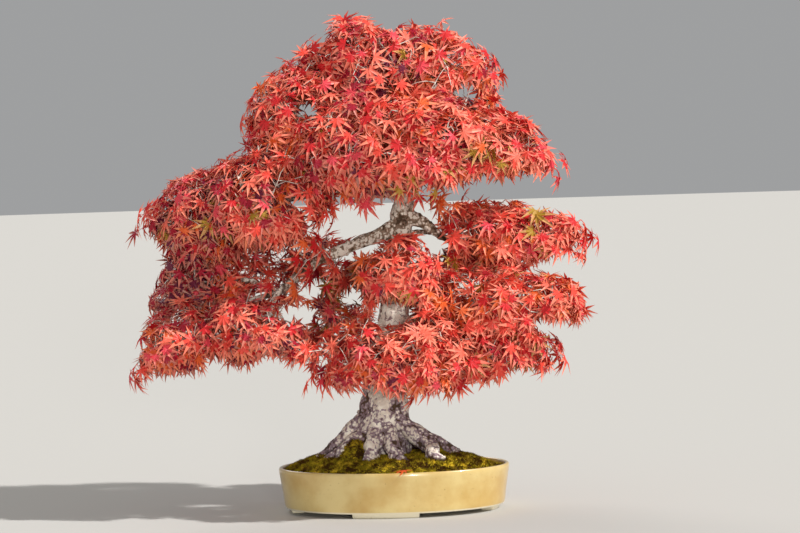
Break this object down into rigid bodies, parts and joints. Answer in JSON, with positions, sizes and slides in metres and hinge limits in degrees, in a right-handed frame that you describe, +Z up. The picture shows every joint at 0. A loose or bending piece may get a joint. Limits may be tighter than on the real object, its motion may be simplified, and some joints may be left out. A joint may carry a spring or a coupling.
{
  "type": "japanese maple bonsai",
  "caption": "Small maple tree in autumn leaf with spreading surface roots and layered pads of lobed leaves, planted in a low oval glazed pot filled with mossy soil.",
  "frame": {"origin": "middle of the bounding box's underside, in the plane of the pot's feet", "axes": "+X along the pot's long side to the show side's right, +Y to the back, +Z up"},
  "size_m": [0.6946, 0.4588, 0.7376],
  "materials": {
    "bark": "rough pale grey bark",
    "leaf": "thin autumn leaves",
    "glaze": "glossy cream glaze",
    "moss": "mossy damp soil"
  },
  "bodies": {
    "root": {"bough_apex_right": "bark", "bough_back_low": "bark", "bough_back_mid": "bark", "bough_band_front": "bark", "bough_band_right": "bark", "bough_band_right_front": "bark", "bough_front_low": "bark", "bough_front_mid": "bark", "bough_left_lower_back": "bark", "bough_left_lower_inner": "bark", "bough_left_lower_outer": "bark", "bough_left_mid": "bark", "bough_left_upper_back": "bark", "bough_left_upper_inner": "bark", "bough_left_upper_outer": "bark", "bough_right_back": "bark", "bough_right_bottom": "bark", "bough_right_bottom_back": "bark", "bough_right_low": "bark", "bough_right_mid": "bark", "bough_shoulder_left": "bark", "bough_upper_back_left": "bark", "bough_upper_back_right": "bark", "foliage_apex_left": "leaf", "foliage_apex_right": "leaf", "foliage_back_low": "leaf", "foliage_back_mid": "leaf", "foliage_band_front": "leaf", "foliage_band_right": "leaf", "foliage_band_right_front": "leaf", "foliage_front_low": "leaf", "foliage_front_mid": "leaf", "foliage_left_lower_back": "leaf", "foliage_left_lower_inner": "leaf", "foliage_left_lower_outer": "leaf", "foliage_left_mid": "leaf", "foliage_left_upper_back": "leaf", "foliage_left_upper_inner": "leaf", "foliage_left_upper_outer": "leaf", "foliage_right_back": "leaf", "foliage_right_bottom": "leaf", "foliage_right_bottom_back": "leaf", "foliage_right_low": "leaf", "foliage_right_mid": "leaf", "foliage_shoulder_left": "leaf", "foliage_upper_back_left": "leaf", "foliage_upper_back_right": "leaf", "ground": "moss", "pot": "glaze", "trunk": "bark"}
  },
  "joints": []
}
